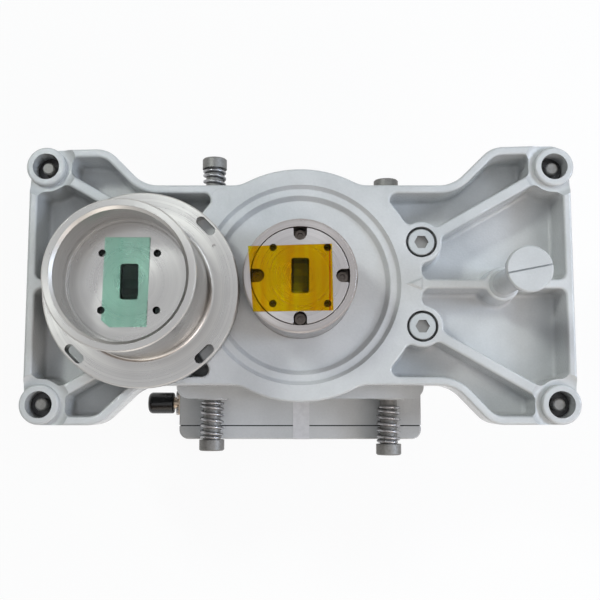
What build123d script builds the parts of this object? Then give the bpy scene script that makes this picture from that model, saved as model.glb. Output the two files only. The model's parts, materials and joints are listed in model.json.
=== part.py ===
from build123d import *
import math
import os

# Waveguide hybrid coupler, millimetres. It lies on its flat rear face with the antenna side up.
# The origin is on the port's axis at the rear face, +Z points out of the port, +X along the arms.

# Levels, from the rear face up
housing_depth = 70.0
transition_depth = 33.0
plate_depth = 23.0
housing_top = housing_depth
plate_back = housing_top + transition_depth
plate_front = plate_back + plate_depth

# Shared clearances and threads
fit_gap = 0.1
loose_gap = 0.3
thread_gap = 0.05
edge_break = 0.6

# Front plate outline: each arm's neck, shoulder and corner, as the casting has them
arm_half_length = 131.1
neck_half_width = 48.3
neck_ends = {
    "lower_left": (-75.2, -48.3),
    "lower_right": (72.7, -48.3),
    "upper_left": (-75.8, 48.3),
    "upper_right": (74.0, 48.3),
}
shoulder_ends = {
    "lower_left": (-94.9, -67.1),
    "lower_right": (90.6, -66.9),
    "upper_left": (-93.5, 66.3),
    "upper_right": (93.2, 67.2),
}
arm_ends = {
    "lower_left": (-arm_half_length, -67.0),
    "lower_right": (arm_half_length, -66.8),
    "upper_left": (-arm_half_length, 65.6),
    "upper_right": (arm_half_length, 68.3),
}
neck_blend = 16.5
shoulder_blend = 13.5
arm_corner = 9.0
bulge_radius = 56.3
bulge_blend = 15.0
plate_draft = 0.5
lip_depth = 17.0
skirt_inset = 1.2

# Front plate pockets and ribs
rim_wall = 4.0
plate_floor = 3.5
pocket_draft = 2.0
pocket_corner = 3.4
pocket_floor_fillet = 2.0
rim_fillet = 1.2
land_radius = 58.8
middle_rib = 4.4
diagonal_rib = 5.2
post_pad_radius = 8.2

# Ring recess round the port, as radius and depth of each step
ring_outer_radius = 48.4
ring_ledge_outer = 46.6
ring_ledge_inner = 43.4
ring_floor_outer = 41.4
ring_ledge_drop = 2.0
ring_floor_drop = 5.0
ring_dish_drop = 6.5
ring_step_fillet = 0.7

# Corner bosses and their captive screws
corner_x = 123.3
corner_y = 57.4
corner_boss_radius = 9.5
corner_boss_pad = 12.0
corner_boss_rise = 0.4
corner_valley_radius = 15.0
corner_valley_depth = 2.6
corner_bore_radius = 6.4
corner_bore_depth = 11.5
corner_tip_recess = 4.0

# Captive screw, the same in the corners and on the long sides
head_radius = 6.5
head_height = 5.6
shank_radius = 4.5
shank_bore_radius = 4.8
neck_radius = 2.5
tip_radius = 3.0
tip_end_radius = 2.4
hex_size = 5.0
hex_depth = 3.4
washer_thickness = 2.0
washer_radius = 6.1
washer_gap = 0.2

# Springs
wire_radius = 0.65
spring_mean_radius = 5.55
spring_turns = 5.5
coil_gap = 0.1
spring_length = 19.7

# Clamp screws, M8 socket head
clamp_x = 58.3
clamp_y = 20.3
clamp_pad_radius = 10.0
clamp_head_radius = 6.5
clamp_head_height = 8.0
clamp_bore_radius = 7.5
clamp_sink = 0.3
clamp_thread_radius = 4.0
clamp_hole_radius = 4.5
clamp_length = 40.0
clamp_hex = 6.0
clamp_hex_depth = 4.0

# Slotted post on the middle rib
post_x = 97.1
post_radius = 5.7
post_head_radius = 10.0
post_head_height = 4.0
post_rise = 49.7
post_flare = 1.2
post_slot_width = 0.7
post_slot_depth = 1.6
post_slot_angle = 11.0
post_thread_radius = 4.0
post_thread_length = 12.0

# Small cast marks
arrow_tip = 50.2
arrow_base = 58.8
arrow_half_width = 3.3
arrow_rise = 0.9
arrow_slope = 50.0
ejector_x = -38.2
ejector_y = 42.3
ejector_radius = 4.35
ejector_depth = 0.25

# Waveguide, 15.8 by 7.9 with its four-screw flange pattern
guide_long = 15.8
guide_short = 7.9
guide_corner = 1.2
flange_pitch_x = 24.28
flange_pitch_y = 25.25
flange_hole_radius = 1.65
flange_hole_depth = 9.0

# Centre port
hub_radius = 25.85
hub_rise = 28.8
hub_flange_radius = 33.0
hub_flange_height = 6.0
hub_edge = 0.8
disc_radius = 22.05
disc_seat_radius = 22.3
disc_thickness = 16.0
notch_width = 6.0
notch_depth = 6.0
notch_cut = 9.0
notch_flare = 0.9
notch_mouth_angle = 63.0
port_screw_circle = 19.05
port_screw_head_radius = 2.75
port_screw_head_height = 3.0
port_screw_radius = 1.5
port_screw_length = 12.0
port_screw_hex = 2.5
port_screw_hex_depth = 1.4
seal_wire = 1.5
hub_seal_radius = 29.0

# Films over the ports
film_thickness = 0.1
port_film_corners = [(-23.4, 13.2), (14.2, 14.3), (14.75, -15.7), (-20.9, -16.3)]
cup_film_corners = [(-11.0, 19.7), (9.1, 19.7), (8.0, -19.9), (-8.2, -20.1), (-11.9, -17.0)]

# Loose adapter cup, lying on the left half of the plate
cup_x = -75.0
cup_y = -3.6
cup_flange_radius = 46.35
cup_flange_height = 7.5
cup_radius = 32.2
cup_socket_radius = 26.1
cup_rise = 57.6
cup_bore_radius = 27.75
cup_floor_rise = 34.7
cup_rim_chamfer = 1.3
cup_socket_depth = 28.8
cup_line_radius = 26.4
cup_line_width = 0.35
cup_fillet = 2.5
cup_slot_circle = 42.8
cup_slot_length = 10.8
cup_slot_width = 4.5
dimple_x = 34.3
dimple_y = 20.5
dimple_radius = 0.8
dimple_depth = 0.8

# Transition body between plate and housing
transition_half_x = 61.5
transition_low_y = -54.6
transition_high_y = 46.8
transition_corner = 6.0
clamp_boss_radius = 8.0

# Side captive screws: seats, and how far each head stands off its seat
side_screw_x = 46.0
side_screw_level = 80.0
side_seat_low = -55.3
side_seat_high = 47.5
side_seat_radius = 8.0
side_wall = 12.0
side_stand_off = {
    "lower_left": 20.5,
    "lower_right": 22.7,
    "upper_left": 20.5,
    "upper_right": 8.8,
}
side_out_stop = 22.7
side_in_stop = 8.3
ring_radius = 6.3
ring_thickness = 1.0
side_tip_length = 12.0
window_half_width = 6.8

# Rear housing
housing_half_x = 64.4
housing_high_y = 58.0
housing_low_y = -68.6
housing_corner = 5.0
housing_wall = 5.0
column_size = 9.0
column_length = 15.0
cover_low_y = -76.0
cover_edge = 0.8
cover_lip = 3.0
cover_lip_wall = 2.5
gasket_thickness = 0.6
gasket_inset = 0.6
cover_screw_radius = 2.0
cover_screw_head_radius = 3.5
cover_screw_head_height = 4.0
cover_screw_length = 12.0
cover_screw_hex = 3.0
cover_screw_hex_depth = 2.0
cover_screw_inset = 7.0

# Sticker over the cover's seam, left blank
sticker_x = 0.5
sticker_width = 8.7
sticker_top_y = -56.0
sticker_drop = 14.0
sticker_thickness = 0.12

# Radio ports on the two sides of the housing
radio_port_level = 35.0
radio_port_reach = 18.0
radio_flange_radius = 28.5
radio_flange_height = 3.0
radio_groove_offset = 6.0

# Branch-guide hybrid, milled in two halves
hybrid_half_length = 56.2
hybrid_half_thickness = 22.0
hybrid_height = 58.0
hybrid_neck_half_x = 14.0
hybrid_neck_half_y = 18.0
guide_gap = 6.5
branch_height = 1.8
branch_pitch = 4.2
branch_count = 4
first_branch = 42.0
mitre = 5.2
load_guide_level = 57.5
load_guide_end = -50.0
absorber_length = 26.0
absorber_butt = 5.0
dowel_radius = 2.0
dowel_length = 20.0
hybrid_screw_radius = 2.0
hybrid_screw_head_radius = 3.5
hybrid_screw_head_height = 4.0
hybrid_screw_length = 34.0
hybrid_screw_places = [(46, 56), (46, 12), (-46, 12), (-46, 46), (0, 14), (20, 56)]
dowel_places = [(46, 22), (-32, 46)]

# Coaxial test port
coax_y = -57.0
coax_level = 56.0
coax_flange = 12.7
coax_flange_thickness = 1.6
coax_neck_radius = 3.17
coax_neck_length = 9.5
coax_bore_radius = 2.05
coax_pin_radius = 0.635
coax_screw_pitch = 8.6
coax_screw_radius = 1.25
coax_screw_head_radius = 2.2
coax_screw_head_height = 1.3
coax_screw_length = 5.0
coax_screw_hex = 1.5
coax_screw_hex_depth = 0.7
cap_start = 69.0
cap_end = 83.0
cap_radius = 5.75
cap_bore_depth = 7.2
cap_edge = 2.4
cap_mouth_edge = 1.2

os.makedirs("parts", exist_ok=True)

hub_face = plate_front + hub_rise
disc_bottom = hub_face - disc_thickness
corner_names = {
    "lower_left": (-1, -1),
    "lower_right": (1, -1),
    "upper_left": (-1, 1),
    "upper_right": (1, 1),
}
clamp_places = [(sx * clamp_x, sy * clamp_y) for sx in (-1, 1) for sy in (-1, 1)]
corner_places = [(sx * corner_x, sy * corner_y) for sx in (-1, 1) for sy in (-1, 1)]


def axial_plane(origin, along, radial=(1, 0, 0)):
    """Sketch plane through an axis: local x is the radius, local y runs along the axis."""
    return Plane(origin=origin, x_dir=radial, z_dir=Vector(radial).cross(Vector(along)))


def across_plane(origin, along, radial=(1, 0, 0)):
    """Sketch plane square to an axis."""
    return Plane(origin=origin, x_dir=radial, z_dir=along)


def turned(profile_points, origin, along, radial=(1, 0, 0), mode=Mode.ADD):
    """Turn a closed outline of radius and length about the axis at origin."""
    with BuildSketch(axial_plane(origin, along, radial)) as profile:
        with BuildLine():
            Polyline(*profile_points, close=True)
        make_face()
    revolve(profile.sketch, axis=Axis(origin, along), mode=mode)


def hex_socket(size, depth, origin, along, radial=(1, 0, 0)):
    """Hexagonal key socket sunk from origin against the given direction."""
    with BuildSketch(across_plane(origin, along, radial)) as socket:
        RegularPolygon(size / math.sqrt(3), 6)
    extrude(socket.sketch, amount=-depth, mode=Mode.SUBTRACT)


def socket_screw(head_r, head_h, body_r, length, hex_af, hex_deep, origin, along, radial=(1, 0, 0)):
    """Socket head screw whose head rests at origin; along points from the tip to the head."""
    edge = 0.08 * head_r
    tip = 0.3 * body_r
    outline = [
        (0, -length),
        (body_r - tip, -length),
        (body_r, tip - length),
        (body_r, 0),
        (head_r, 0),
        (head_r, head_h - edge),
        (head_r - edge, head_h),
        (0, head_h),
    ]
    turned(outline, origin, along, radial)
    hex_socket(hex_af, hex_deep, Vector(origin) + Vector(along) * head_h, along, radial)


def captive_screw(shank_length, neck_width, tip_length, origin, along, radial=(1, 0, 0)):
    """Captive screw with its head's inner face at origin; along points from head to tip."""
    neck_start = shank_length
    tip_start = shank_length + neck_width
    outline = [
        (0, -head_height),
        (head_radius - edge_break, -head_height),
        (head_radius, edge_break - head_height),
        (head_radius, 0),
        (shank_radius, 0),
        (shank_radius, shank_length - 0.5),
        (shank_radius - 0.5, shank_length),
        (neck_radius, neck_start),
        (neck_radius, tip_start),
        (tip_radius, tip_start),
        (tip_radius, tip_start + tip_length - edge_break),
        (tip_end_radius, tip_start + tip_length),
        (0, tip_start + tip_length),
    ]
    turned(outline, origin, along, radial)
    face = Vector(origin) - Vector(along) * head_height
    hex_socket(hex_size, hex_depth, face, Vector(along) * -1, radial)


def ring_about(inner, outer, thickness, origin, along, radial=(1, 0, 0)):
    """Flat ring whose first face is at origin."""
    turned(
        [(inner, 0), (outer, 0), (outer, thickness), (inner, thickness)], origin, along, radial
    )


def coil_spring(length, origin, along):
    """Compression spring of round wire, from origin along its axis."""
    height = length - 2 * wire_radius
    pitch = max(height / spring_turns, 2 * wire_radius + coil_gap)
    start = Vector(origin) + Vector(along) * wire_radius
    with BuildLine() as coil:
        Helix(pitch, height, spring_mean_radius, start, along)
    with BuildSketch(Plane(origin=coil.line @ 0, z_dir=coil.line % 0)) as wire:
        Circle(wire_radius)
    sweep(wire.sketch, path=coil.line, is_frenet=True)


def seal_ring(radius, wire, origin, along, radial=(1, 0, 0)):
    """Round seal ring about the axis at origin."""
    with BuildSketch(axial_plane(origin, along, radial)) as profile:
        with Locations((radius, 0)):
            Circle(wire / 2)
    revolve(profile.sketch, axis=Axis(origin, along))


def guide_slot(plane, depth, turned_slot=False):
    """Cut the waveguide's rounded slot into the part, from the plane against its normal."""
    long_side, short_side = (guide_long, guide_short) if turned_slot else (guide_short, guide_long)
    with BuildSketch(plane) as slot:
        RectangleRounded(long_side, short_side, guide_corner)
    extrude(slot.sketch, amount=-depth, mode=Mode.SUBTRACT)


# Outline of the casting: two broad arms, a neck and the round bulge about the port
with BuildSketch(Plane.XY.offset(plate_front)) as outline:
    lower_side = [
        arm_ends["lower_left"],
        shoulder_ends["lower_left"],
        neck_ends["lower_left"],
        neck_ends["lower_right"],
        shoulder_ends["lower_right"],
        arm_ends["lower_right"],
    ]
    upper_side = [
        arm_ends["upper_right"],
        shoulder_ends["upper_right"],
        neck_ends["upper_right"],
        neck_ends["upper_left"],
        shoulder_ends["upper_left"],
        arm_ends["upper_left"],
    ]
    with BuildLine():
        Polyline(*lower_side, *upper_side, close=True)
    make_face()
    for places, blend in ((neck_ends, neck_blend), (shoulder_ends, shoulder_blend), (arm_ends, arm_corner)):
        bends = [
            corner
            for corner in outline.vertices()
            if min(math.hypot(corner.X - x, corner.Y - y) for x, y in places.values()) < 0.01
        ]
        fillet(bends, blend)
    Circle(bulge_radius)
    bulge_meets = math.sqrt(bulge_radius**2 - neck_half_width**2)
    necks = [
        corner
        for corner in outline.vertices()
        if abs(abs(corner.X) - bulge_meets) < 0.01 and abs(abs(corner.Y) - neck_half_width) < 0.01
    ]
    fillet(necks, bulge_blend)

# Front plate, one casting
with BuildPart() as front_plate:
    extrude(outline.sketch, amount=-lip_depth, taper=-plate_draft)
    with BuildSketch(Plane.XY.offset(plate_front - lip_depth)) as skirt:
        add(outline.sketch.moved(Location((0, 0, -plate_front))))
        offset(amount=-skirt_inset, kind=Kind.ARC)
    extrude(skirt.sketch, amount=lip_depth - plate_depth)
    with BuildSketch(Plane.XY.offset(plate_front)) as pockets:
        add(outline.sketch.moved(Location((0, 0, -plate_front))))
        offset(amount=-rim_wall, kind=Kind.ARC)
        smooth_points = [(point.X, point.Y) for point in pockets.vertices()]
        Circle(land_radius, mode=Mode.SUBTRACT)
        Rectangle(2 * arm_half_length, middle_rib, mode=Mode.SUBTRACT)
        with Locations(*clamp_places):
            Circle(clamp_pad_radius, mode=Mode.SUBTRACT)
        with Locations(*corner_places):
            Circle(corner_boss_pad, mode=Mode.SUBTRACT)
        with Locations((post_x, 0)):
            Circle(post_pad_radius, mode=Mode.SUBTRACT)
        rib_length = math.hypot(corner_x - clamp_x, corner_y - clamp_y)
        rib_angle = math.degrees(math.atan2(corner_y - clamp_y, corner_x - clamp_x))
        for sx, sy in corner_names.values():
            middle = (sx * (corner_x + clamp_x) / 2, sy * (corner_y + clamp_y) / 2)
            with Locations(Location(middle, sx * sy * rib_angle)):
                Rectangle(rib_length, diagonal_rib, mode=Mode.SUBTRACT)
        pocket_bends = [
            corner
            for corner in pockets.vertices()
            if min(math.hypot(corner.X - x, corner.Y - y) for x, y in smooth_points) > 0.05
        ]
        fillet(pocket_bends, pocket_corner)
    pocket_depth = plate_depth - plate_floor
    extrude(pockets.sketch, amount=-pocket_depth, taper=pocket_draft, mode=Mode.SUBTRACT)
    floor_edges = front_plate.edges().filter_by_position(
        Axis.Z, plate_back + plate_floor - 0.01, plate_back + plate_floor + 0.01
    )
    fillet(floor_edges, pocket_floor_fillet)
    fillet(front_plate.faces().sort_by(Axis.Z)[-1].edges(), rim_fillet)
    # Valleys round the corner bosses
    for x, y in corner_places:
        with BuildSketch(axial_plane((x, y, plate_front), (0, 0, 1))) as valley:
            with BuildLine():
                ThreePointArc(
                    (corner_valley_radius, 0),
                    (0.55 * corner_valley_radius + 0.45 * corner_boss_radius, -0.7 * corner_valley_depth),
                    (corner_boss_radius - 0.5, -corner_valley_depth),
                )
                Polyline(
                    (corner_boss_radius - 0.5, -corner_valley_depth),
                    (0, -corner_valley_depth),
                    (0, 1),
                    (corner_valley_radius, 1),
                    (corner_valley_radius, 0),
                )
            make_face()
        revolve(valley.sketch, axis=Axis((x, y, 0), (0, 0, 1)), mode=Mode.SUBTRACT)
    # Corner bosses, slightly proud of the rim
    with BuildSketch(Plane.XY.offset(plate_back)) as bosses:
        with Locations(*corner_places):
            Circle(corner_boss_radius)
    extrude(bosses.sketch, amount=plate_depth + corner_boss_rise)
    boss_rims = front_plate.edges().group_by(Axis.Z)[-1]
    fillet(boss_rims, rim_fillet)
    # Stepped ring recess with a dished floor
    with BuildSketch(axial_plane((0, 0, plate_front), (0, 0, 1))) as recess:
        with BuildLine():
            Polyline(
                (0, 1),
                (ring_outer_radius, 1),
                (ring_outer_radius, 0),
                (ring_ledge_outer, -ring_ledge_drop),
                (ring_ledge_inner, -ring_ledge_drop),
                (ring_floor_outer, -ring_floor_drop),
                (hub_radius, -ring_dish_drop),
                (0, -ring_dish_drop),
                close=True,
            )
        make_face()
        steps = [corner for corner in recess.vertices() if corner.X > ring_floor_outer - 1]
        steps = [corner for corner in steps if corner.Z < plate_front - 0.5]
        fillet(steps, ring_step_fillet)
    revolve(recess.sketch, axis=Axis.Z, mode=Mode.SUBTRACT)
    # Bore for the hub
    with Locations((0, 0, plate_front)):
        Hole(hub_radius + fit_gap)
    # Counterbored holes for the clamp screws
    with Locations(*[(x, y, plate_front) for x, y in clamp_places]):
        CounterBoreHole(clamp_hole_radius, clamp_bore_radius, clamp_head_height + clamp_sink)
    # Stepped bores for the captive screws
    with Locations(*[(x, y, plate_front + corner_boss_rise) for x, y in corner_places]):
        CounterBoreHole(shank_bore_radius, corner_bore_radius, corner_bore_depth + corner_boss_rise)
    # Tapped seat of the slotted post
    with Locations((post_x, 0, plate_front)):
        Hole(post_thread_radius + thread_gap, post_thread_length + loose_gap)
    # Arrow that points at the port, and an ejector mark
    with BuildSketch(Plane.XY.offset(plate_front)) as arrow:
        with BuildLine():
            Polyline(
                (arrow_tip, 0),
                (arrow_base, -arrow_half_width),
                (arrow_base, arrow_half_width),
                close=True,
            )
        make_face()
    extrude(arrow.sketch, amount=arrow_rise, taper=arrow_slope)
    with BuildSketch(Plane.XY.offset(plate_front)) as ejector_mark:
        with Locations((ejector_x, ejector_y)):
            Circle(ejector_radius)
    extrude(ejector_mark.sketch, amount=-ejector_depth, mode=Mode.SUBTRACT)
front_plate.part.label = "front_plate"
export_step(front_plate.part, "parts/front_plate.step")

# Turned hub with the waveguide through its web
with BuildPart() as port_hub:
    hub_outline = [
        (0, hub_rise - disc_thickness),
        (disc_seat_radius, hub_rise - disc_thickness),
        (disc_seat_radius, hub_rise),
        (hub_radius - hub_edge, hub_rise),
        (hub_radius, hub_rise - hub_edge),
        (hub_radius, -plate_depth),
        (hub_flange_radius, -plate_depth),
        (hub_flange_radius, -plate_depth - hub_flange_height),
        (0, -plate_depth - hub_flange_height),
    ]
    turned(hub_outline, (0, 0, plate_front), (0, 0, 1))
    guide_slot(Plane.XY.offset(disc_bottom), disc_bottom)
    with Locations((0, 0, disc_bottom)):
        with PolarLocations(port_screw_circle, 4):
            Hole(port_screw_radius + thread_gap, port_screw_length)
    with BuildSketch(axial_plane((0, 0, plate_back - hub_flange_height), (0, 0, 1))) as groove:
        with Locations((hub_seal_radius, 0)):
            Rectangle(seal_wire + 2 * loose_gap, seal_wire)
    revolve(groove.sketch, axis=Axis.Z, mode=Mode.SUBTRACT)
port_hub.part.label = "port_hub"
export_step(port_hub.part, "parts/port_hub.step")

# Seal ring in the groove under the hub's flange
with BuildPart() as hub_seal:
    seal_centre = plate_back - hub_flange_height
    with BuildSketch(axial_plane((0, 0, seal_centre), (0, 0, 1))) as seal_profile:
        with Locations((hub_seal_radius, seal_wire / 4)):
            RectangleRounded(seal_wire, seal_wire / 2 - 0.02, 0.3)
    revolve(seal_profile.sketch, axis=Axis.Z)
hub_seal.part.label = "hub_seal"
export_step(hub_seal.part, "parts/hub_seal.step")

# Port disc with four U notches
with BuildPart() as port_disc:
    disc_outline = [
        (0, 0),
        (disc_radius, 0),
        (disc_radius, disc_thickness - 0.3),
        (disc_radius - 0.3, disc_thickness),
        (0, disc_thickness),
    ]
    turned(disc_outline, (0, 0, disc_bottom), (0, 0, 1))
    with BuildSketch(Plane.XY.offset(hub_face)) as notches:
        with PolarLocations(disc_radius, 4):
            inner_end = notch_width / 2 - notch_depth
            with Locations((inner_end, 0)):
                Circle(notch_width / 2)
            with Locations((inner_end / 2 + notch_width / 2, 0)):
                Rectangle(notch_width - inner_end, notch_width)
            Trapezoid(
                notch_width + 2 * notch_flare,
                2 * notch_flare,
                notch_mouth_angle,
                rotation=90,
            )
    extrude(notches.sketch, amount=-notch_cut, mode=Mode.SUBTRACT)
    guide_slot(Plane.XY.offset(hub_face), disc_thickness)
    with Locations((0, 0, hub_face)):
        with GridLocations(flange_pitch_x, flange_pitch_y, 2, 2):
            Hole(flange_hole_radius, flange_hole_depth)
    with Locations((0, 0, hub_face)):
        with PolarLocations(port_screw_circle, 4):
            Hole(port_screw_radius + loose_gap)
port_disc.part.label = "port_disc"
export_step(port_disc.part, "parts/port_disc.step")

# Socket screws that hold the disc in the hub
with BuildPart() as port_screws:
    for turn in range(4):
        angle = math.radians(90 * turn)
        place = (
            port_screw_circle * math.cos(angle),
            port_screw_circle * math.sin(angle),
            hub_face - notch_cut,
        )
        socket_screw(
            port_screw_head_radius,
            port_screw_head_height,
            port_screw_radius,
            port_screw_length,
            port_screw_hex,
            port_screw_hex_depth,
            place,
            (0, 0, 1),
        )
port_screws.part.label = "port_screws"
export_step(port_screws.part, "parts/port_screws.step")

# Protective film stuck on the hub's face
with BuildPart() as port_film:
    with BuildSketch(Plane.XY.offset(hub_face)):
        with BuildLine():
            Polyline(*port_film_corners, close=True)
        make_face()
    extrude(amount=film_thickness)
port_film.part.label = "port_film"
export_step(port_film.part, "parts/port_film.step")

# M8 screws that clamp the plate to the transition body
clamp_seat = plate_front - clamp_sink - clamp_head_height
with BuildPart() as clamp_screws:
    for x, y in clamp_places:
        socket_screw(
            clamp_head_radius,
            clamp_head_height,
            clamp_thread_radius,
            clamp_length,
            clamp_hex,
            clamp_hex_depth,
            (x, y, clamp_seat),
            (0, 0, 1),
        )
clamp_screws.part.label = "clamp_screws"
export_step(clamp_screws.part, "parts/clamp_screws.step")

# Slotted post screwed into the middle rib
with BuildPart() as slotted_post:
    post_outline = [
        (0, -post_thread_length),
        (post_thread_radius - edge_break, -post_thread_length),
        (post_thread_radius, edge_break - post_thread_length),
        (post_thread_radius, 0),
        (post_radius + post_flare, 0),
        (post_radius, 2 * post_flare),
        (post_radius, post_rise - post_head_height),
        (post_head_radius - edge_break, post_rise - post_head_height),
        (post_head_radius, post_rise - post_head_height + edge_break),
        (post_head_radius, post_rise - edge_break),
        (post_head_radius - edge_break, post_rise),
        (0, post_rise),
    ]
    turned(post_outline, (post_x, 0, plate_front), (0, 0, 1))
    with BuildSketch(Plane.XY.offset(plate_front + post_rise)) as slot:
        with Locations(Location((post_x, 0), post_slot_angle)):
            Rectangle(2 * post_head_radius + 2, post_slot_width)
    extrude(slot.sketch, amount=-post_slot_depth, mode=Mode.SUBTRACT)
slotted_post.part.label = "slotted_post"
export_step(slotted_post.part, "parts/slotted_post.step")

# Loose adapter cup: a flange, a socket below that fits the hub and a cup above
cup_base = (cup_x, cup_y, plate_front)
with BuildPart() as adapter_cup:
    cup_outline = [
        (0, cup_socket_depth),
        (cup_socket_radius, cup_socket_depth),
        (cup_socket_radius, edge_break),
        (cup_socket_radius + edge_break, 0),
        (cup_flange_radius - edge_break, 0),
        (cup_flange_radius, edge_break),
        (cup_flange_radius, cup_flange_height - edge_break),
        (cup_flange_radius - edge_break, cup_flange_height),
        (cup_radius, cup_flange_height),
        (cup_radius, cup_rise - edge_break),
        (cup_radius - edge_break, cup_rise),
        (cup_bore_radius + cup_rim_chamfer, cup_rise),
        (cup_bore_radius, cup_rise - cup_rim_chamfer),
        (cup_bore_radius, cup_floor_rise),
        (0, cup_floor_rise),
    ]
    turned(cup_outline, cup_base, (0, 0, 1))
    neck_edges = adapter_cup.edges().filter_by(GeomType.CIRCLE).filter_by(
        lambda edge: abs(edge.radius - cup_radius) < 0.01
        and abs(edge.center().Z - plate_front - cup_flange_height) < 0.01
    )
    fillet(neck_edges, cup_fillet)
    # Fine turned line round the floor
    turned(
        [
            (cup_line_radius, cup_floor_rise + 1),
            (cup_line_radius + cup_line_width, cup_floor_rise + 1),
            (cup_line_radius + cup_line_width, cup_floor_rise - cup_line_width),
            (cup_line_radius, cup_floor_rise - cup_line_width),
        ],
        cup_base,
        (0, 0, 1),
        mode=Mode.SUBTRACT,
    )
    cup_floor_plane = Plane((cup_x, cup_y, plate_front + cup_floor_rise))
    guide_slot(cup_floor_plane, cup_floor_rise)
    with BuildSketch(cup_floor_plane) as cup_holes:
        with GridLocations(flange_pitch_x, flange_pitch_y, 2, 2):
            Circle(flange_hole_radius)
    extrude(cup_holes.sketch, amount=-cup_floor_rise, mode=Mode.SUBTRACT)
    # Four slots along the flange's bolt circle, and a drilled dimple
    with BuildSketch(Plane((cup_x, cup_y, plate_front + cup_flange_height))) as flange_slots:
        with PolarLocations(cup_slot_circle, 4, start_angle=45):
            SlotOverall(cup_slot_length, cup_slot_width, rotation=90)
    extrude(flange_slots.sketch, amount=-cup_flange_height, mode=Mode.SUBTRACT)
    with Locations((cup_x + dimple_x, cup_y + dimple_y, plate_front + cup_flange_height)):
        Hole(dimple_radius, dimple_depth)
adapter_cup.part.label = "adapter_cup"
export_step(adapter_cup.part, "parts/adapter_cup.step")

# Protective film stuck over the cup's waveguide slot
with BuildPart() as cup_film:
    with BuildSketch(cup_floor_plane):
        with BuildLine():
            Polyline(*cup_film_corners, close=True)
        make_face()
    extrude(amount=film_thickness)
cup_film.part.label = "cup_film"
export_step(cup_film.part, "parts/cup_film.step")

# Seats of the side screws: name, seat point and the direction in
side_places = {}
for name, (sx, sy) in corner_names.items():
    seat_y = side_seat_low if sy < 0 else side_seat_high
    side_places[name] = (Vector(sx * side_screw_x, seat_y, side_screw_level), Vector(0, -sy, 0))

# Transition body, a casting with the side screws' bosses
shank_to_ring = side_out_stop + side_wall + loose_gap
window_length = side_out_stop - side_in_stop + ring_thickness + 2 * loose_gap
side_screw_reach = shank_to_ring + ring_thickness + side_tip_length
with BuildPart() as transition_body:
    with BuildSketch(Plane.XY.offset(housing_top)) as footprint:
        with Locations((0, (transition_low_y + transition_high_y) / 2)):
            Rectangle(2 * transition_half_x, transition_high_y - transition_low_y)
        fillet(footprint.vertices(), transition_corner)
        with Locations(*clamp_places):
            Circle(clamp_boss_radius)
    extrude(footprint.sketch, amount=transition_depth)
    for seat, inward in side_places.values():
        with BuildSketch(across_plane(seat, inward)) as seat_pad:
            Circle(side_seat_radius)
        extrude(seat_pad.sketch, amount=side_wall)
    # Seat of the hub's flange, and the waveguide below it
    with Locations((0, 0, plate_back)):
        Hole(hub_flange_radius + fit_gap, hub_flange_height)
    guide_slot(Plane.XY.offset(plate_back), transition_depth)
    with Locations(*[(x, y, plate_back) for x, y in clamp_places]):
        clamp_reach = clamp_sink + clamp_head_height + clamp_length - plate_depth
        Hole(clamp_thread_radius + thread_gap, clamp_reach + 1)
    # Shank bore, window for the retaining ring and tapped bore of each side screw
    for seat, inward in side_places.values():
        with BuildSketch(across_plane(seat, inward)) as shank_bore:
            Circle(shank_bore_radius)
        extrude(shank_bore.sketch, amount=side_wall + window_length, mode=Mode.SUBTRACT)
        with BuildSketch(across_plane(seat, inward)) as tapped_bore:
            Circle(tip_radius + thread_gap)
        tapped_depth = side_screw_reach - side_in_stop + 1
        extrude(tapped_bore.sketch, amount=tapped_depth, mode=Mode.SUBTRACT)
        window_middle = seat + inward * (side_wall + window_length / 2)
        with BuildSketch(Plane.XY.offset(housing_top)) as window:
            with Locations((window_middle.X, window_middle.Y)):
                Rectangle(2 * window_half_width, window_length)
        window_height = side_screw_level - housing_top + window_half_width
        extrude(window.sketch, amount=window_height, mode=Mode.SUBTRACT)
transition_body.part.label = "transition_body"
export_step(transition_body.part, "parts/transition_body.step")

# Side captive screws, their retaining rings and springs, each at its own stand-off
for name, (seat, inward) in side_places.items():
    stand_off = side_stand_off[name]
    head_face = seat - inward * stand_off
    with BuildPart() as side_screw:
        captive_screw(shank_to_ring, ring_thickness, side_tip_length, head_face, inward)
    side_screw.part.label = f"side_screw_{name}"
    export_step(side_screw.part, f"parts/side_screw_{name}.step")

    with BuildPart() as side_ring:
        ring_start = head_face + inward * (shank_to_ring + 0.02)
        ring_about(neck_radius + 0.02, ring_radius, ring_thickness - 0.04, ring_start, inward)
    side_ring.part.label = f"side_ring_{name}"
    export_step(side_ring.part, f"parts/side_ring_{name}.step")

    with BuildPart() as side_spring:
        length = min(spring_length, stand_off - 2 * loose_gap)
        coil_spring(length, head_face + inward * loose_gap, inward)
    side_spring.part.label = f"side_spring_{name}"
    export_step(side_spring.part, f"parts/side_spring_{name}.step")

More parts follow.
